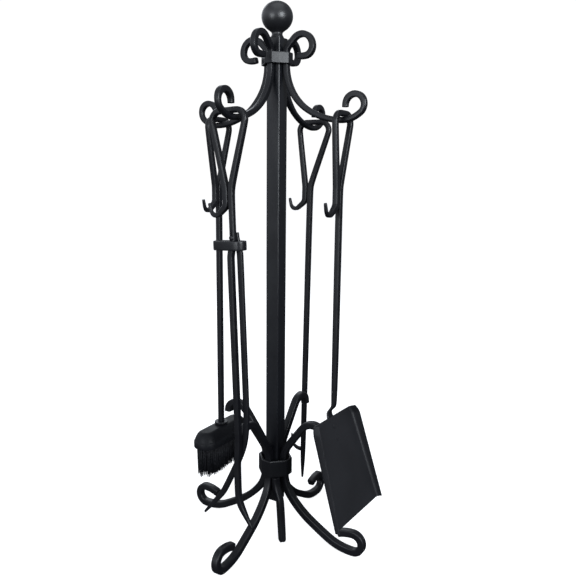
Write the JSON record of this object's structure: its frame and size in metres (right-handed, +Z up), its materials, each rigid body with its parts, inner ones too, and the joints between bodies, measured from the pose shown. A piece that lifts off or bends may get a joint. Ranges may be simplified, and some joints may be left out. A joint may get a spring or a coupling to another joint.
{
  "type": "fireplace tool set",
  "caption": "Black wrought-iron fireplace set: a scrolled post stand with hooks, carrying a poker, a hearth brush, a shovel and tongs that each hang by a bent loop.",
  "frame": {"origin": "on the floor, under the axis of the square post", "axes": "+Z up the post; +X towards the hook that carries the shovel; -Y towards the hook that carries the tongs"},
  "size_m": [0.32, 0.32, 0.8066],
  "materials": {
    "black_iron": "satin black powder coat on forged steel",
    "dark_steel": "blackened steel",
    "brush_wood": "dark stained block",
    "black_bristle": "matt black filament"
  },
  "bodies": {
    "stand": {"post": "black_iron", "post_top_plug": "dark_steel", "finial_stud": "dark_steel", "ball_finial": "black_iron", "upper_collar": "black_iron", "lower_collar": "black_iron", "bracket_front_right": "black_iron", "bracket_front_left": "black_iron", "bracket_back_left": "black_iron", "bracket_back_right": "black_iron", "leg_front_right": "black_iron", "leg_front_left": "black_iron", "leg_back_left": "black_iron", "leg_back_right": "black_iron", "centre_strut": "black_iron"},
    "poker": {"poker_rod": "black_iron", "poker_barb": "black_iron"},
    "brush": {"brush_handle": "black_iron", "brush_flange": "black_iron", "brush_cap": "black_iron", "brush_core": "brush_wood", "brush_bristles": "black_bristle"},
    "shovel": {"shovel_handle": "black_iron", "shovel_pan": "black_iron", "pan_rivet_1": "dark_steel", "pan_rivet_2": "dark_steel"},
    "tongs": {"tongs_handle": "black_iron", "tongs_hinge_pin": "dark_steel"},
    "tongs_arm": {"tongs_swing_arm": "black_iron", "tongs_ring": "black_iron"}
  },
  "joints": [
    {"name": "shovel_swing", "type": "hinge", "parent": "stand", "child": "shovel", "pos_m": [0.1066, 0, 0.64346], "axis": [1, 0, 0], "range_deg": [-12, 12]},
    {"name": "poker_swing", "type": "hinge", "parent": "stand", "child": "poker", "pos_m": [0, 0.1066, 0.64346], "axis": [0, 1, 0], "range_deg": [-12, 12]},
    {"name": "brush_swing", "type": "hinge", "parent": "stand", "child": "brush", "pos_m": [-0.1066, 0, 0.64346], "axis": [-1, 0, 0], "range_deg": [-12, 12]},
    {"name": "tongs_swing", "type": "hinge", "parent": "stand", "child": "tongs", "pos_m": [0, -0.1066, 0.64346], "axis": [0, -1, 0], "range_deg": [-12, 12]},
    {"name": "tongs_open", "type": "hinge", "parent": "tongs", "child": "tongs_arm", "pos_m": [-0.0011, -0.1066, 0.4798], "axis": [0, -1, 0], "range_deg": [0, 25]}
  ]
}
